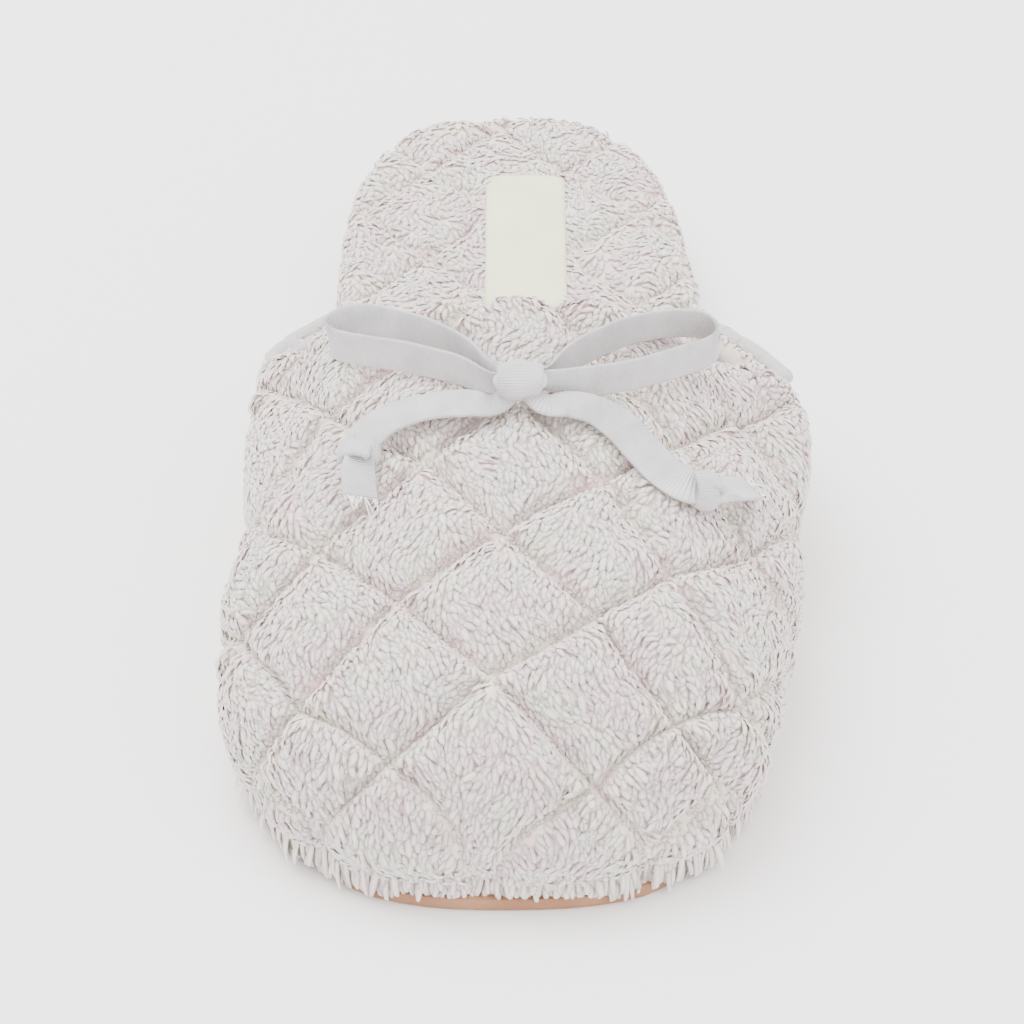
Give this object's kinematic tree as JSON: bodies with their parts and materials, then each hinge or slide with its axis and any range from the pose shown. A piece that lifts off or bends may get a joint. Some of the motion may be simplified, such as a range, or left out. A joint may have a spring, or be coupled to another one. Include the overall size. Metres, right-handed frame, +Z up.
{
  "type": "terry slipper",
  "caption": "Backless left-foot slipper with a quilted plush upper and footbed, a flat tan sole, a small blank label and a tied ribbon bow.",
  "frame": {"origin": "on the floor under the middle of the sole's length, on the line that runs from the toe tip to the back of the heel", "axes": "+Z up, -Y towards the toe, +X towards the outer side of the foot, which is the left foot"},
  "size_m": [0.1189, 0.2655, 0.0669],
  "materials": {
    "tan_rubber": "matte",
    "footbed_foam": "matte",
    "terry_plush": "deep brushed pile",
    "woven_label": "smooth weave",
    "grosgrain_ribbon": "fine cross ribs"
  },
  "bodies": {
    "root": {"outsole": "tan_rubber", "midsole": "footbed_foam", "insole": "terry_plush", "upper": "terry_plush", "label": "woven_label", "bow_knot": "grosgrain_ribbon", "bow_loop_inner": "grosgrain_ribbon", "bow_loop_outer": "grosgrain_ribbon", "bow_tail_inner": "grosgrain_ribbon", "bow_tail_outer": "grosgrain_ribbon"}
  },
  "joints": []
}
